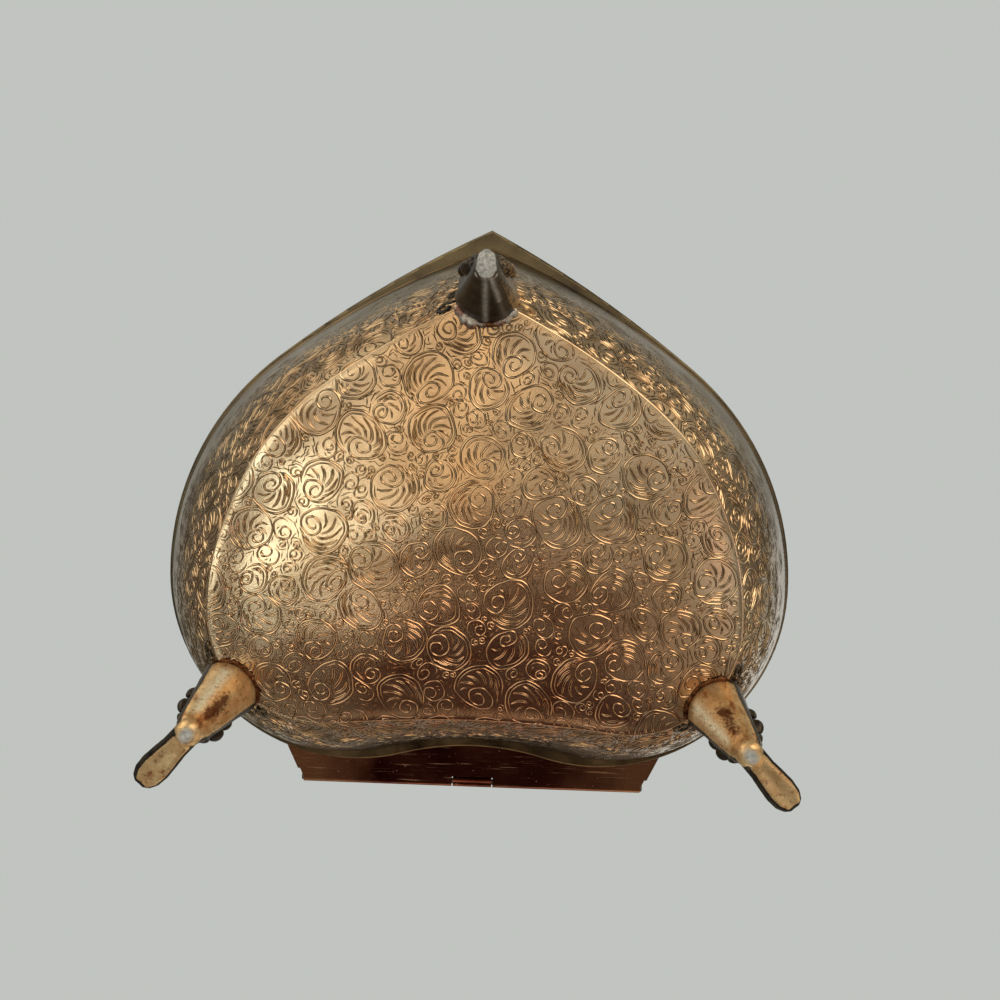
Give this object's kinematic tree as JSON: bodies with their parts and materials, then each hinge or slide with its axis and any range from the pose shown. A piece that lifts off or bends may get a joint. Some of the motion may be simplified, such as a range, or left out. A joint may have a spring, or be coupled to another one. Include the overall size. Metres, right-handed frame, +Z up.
{
  "type": "heart-shaped footed trinket box",
  "caption": "Heart-shaped pressed-metal trinket box on cast scroll feet, embossed all over with scrolls, with a domed lid hinged at the back.",
  "frame": {"origin": "on the table under the middle of the closed box's outline", "axes": "+Z up, +Y towards the hinge, -Y towards the heart's point, +X to the box's left as seen from its front"},
  "size_m": [0.11, 0.099, 0.0551],
  "materials": {
    "embossed_brass": "copper-gold plated sheet embossed with scrolls, worn and toned brown",
    "plain_brass": "plain copper-gold plated sheet, fine scratches",
    "cast_foot": "gold-copper plated casting, smooth inside, stained brown, grey where it is worn",
    "pin_steel": "drawn wire, dulled",
    "solder": "soft solder, plated over",
    "card": "grey-brown board",
    "velvet": "short-pile red velvet"
  },
  "bodies": {
    "box": {"body_shell": "embossed_brass", "body_rim": "plain_brass", "hinge_leaf_body": "plain_brass", "hinge_pin": "pin_steel", "foot_front": "cast_foot", "foot_back_left": "cast_foot", "foot_back_right": "cast_foot", "foot_solder": "solder", "base_card": "card", "base_pad": "velvet", "wall_lining": "velvet"},
    "lid": {"lid_rim": "plain_brass", "lid_shell": "embossed_brass", "hinge_leaf_lid": "plain_brass", "lid_card": "card", "lid_pad": "velvet"}
  },
  "joints": [
    {"name": "lid_hinge", "type": "hinge", "parent": "box", "child": "lid", "pos_m": [0, 0.04855, 0.044], "axis": [-1, 0, 0], "range_deg": [0, 110]}
  ]
}
